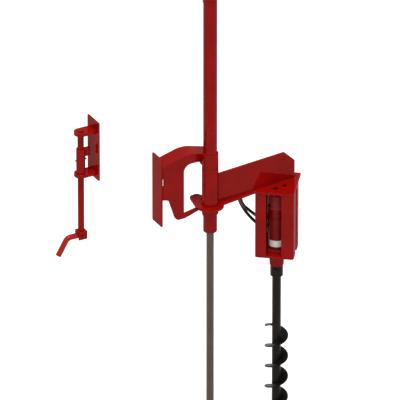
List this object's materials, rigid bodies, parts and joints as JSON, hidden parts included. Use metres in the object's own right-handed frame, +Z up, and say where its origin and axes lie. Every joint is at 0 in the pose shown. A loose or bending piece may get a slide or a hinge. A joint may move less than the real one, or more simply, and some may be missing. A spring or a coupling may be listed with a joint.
{
  "type": "pilot auger",
  "caption": "Swing arm with a hydraulic auger drive in an open cage, carried on an upright feed cylinder beside a mast plate, with a separate rod latch.",
  "frame": {"origin": "centre of the mast plate's mounting face", "axes": "+X from the mast towards the feed cylinder, +Y away from the side the auger cage's window faces, +Z up along the feed cylinder"},
  "size_m": [1.3909, 0.3051, 2.65],
  "materials": {
    "red_paint": "gloss",
    "dark_steel": "satin",
    "rod_steel": "satin",
    "bronze": "satin",
    "seal": "matt",
    "hose": "matt",
    "bolt_steel": "satin",
    "motor_red": "gloss"
  },
  "bodies": {
    "frame": {"mast_plate": "red_paint", "yoke_web": "red_paint", "yoke_flange": "red_paint", "upper_knuckle": "red_paint", "lower_knuckle": "red_paint", "thrust_washers": "bronze", "feed_barrel": "red_paint", "barrel_cap": "red_paint", "rod_gland": "dark_steel", "barrel_ports": "red_paint", "latch_plate": "red_paint", "latch_lugs": "red_paint"},
    "rod": {"feed_rod": "rod_steel", "piston": "dark_steel", "piston_seal": "seal", "rod_eye": "rod_steel"},
    "arm": {"swing_sleeve": "red_paint", "sleeve_bushes": "bronze", "grease_nipple": "bolt_steel", "arm_plate": "red_paint", "arm_web": "red_paint", "cage_front": "red_paint", "cage_rear": "red_paint", "cage_bottom_plate": "red_paint", "cage_top_bolts": "bolt_steel", "motor_end_cover": "motor_red", "motor_gear_ring": "motor_red", "motor_housing": "motor_red", "motor_flange": "motor_red", "motor_flange_bolts": "bolt_steel", "supply_hose": "hose", "return_hose": "hose", "hose_fittings": "bolt_steel", "hose_bracket": "red_paint", "spindle_hub": "red_paint", "spindle_bearings": "bolt_steel"},
    "auger": {"motor_shaft": "bolt_steel", "drive_coupling": "dark_steel", "coupling_bolt": "bolt_steel", "auger_shaft": "dark_steel", "auger_flight": "dark_steel", "pilot_point": "dark_steel", "cutter_teeth": "bolt_steel"},
    "latch": {"latch_rod": "red_paint", "latch_sleeve": "red_paint", "latch_cross_pin": "bolt_steel", "latch_clevis": "red_paint", "latch_handle": "red_paint", "handle_bolt": "bolt_steel"}
  },
  "joints": [
    {"name": "arm_swing", "type": "hinge", "parent": "frame", "child": "arm", "pos_m": [0.262, -0.078, -0.111], "axis": [0, 0, 1], "range_deg": [-90, 90]},
    {"name": "auger_spin", "type": "hinge", "parent": "arm", "child": "auger", "pos_m": [0.65301, -0.06045, -0.111], "axis": [0, 0, 1], "continuous": true},
    {"name": "feed_slide", "type": "slide", "parent": "frame", "child": "rod", "axis": [0, 0, 1], "range_m": [0, 0.95]},
    {"name": "latch_turn", "type": "hinge", "parent": "frame", "child": "latch", "pos_m": [-0.427, 0, 0.2], "axis": [0, 0, 1], "range_deg": [-90, 0]}
  ]
}
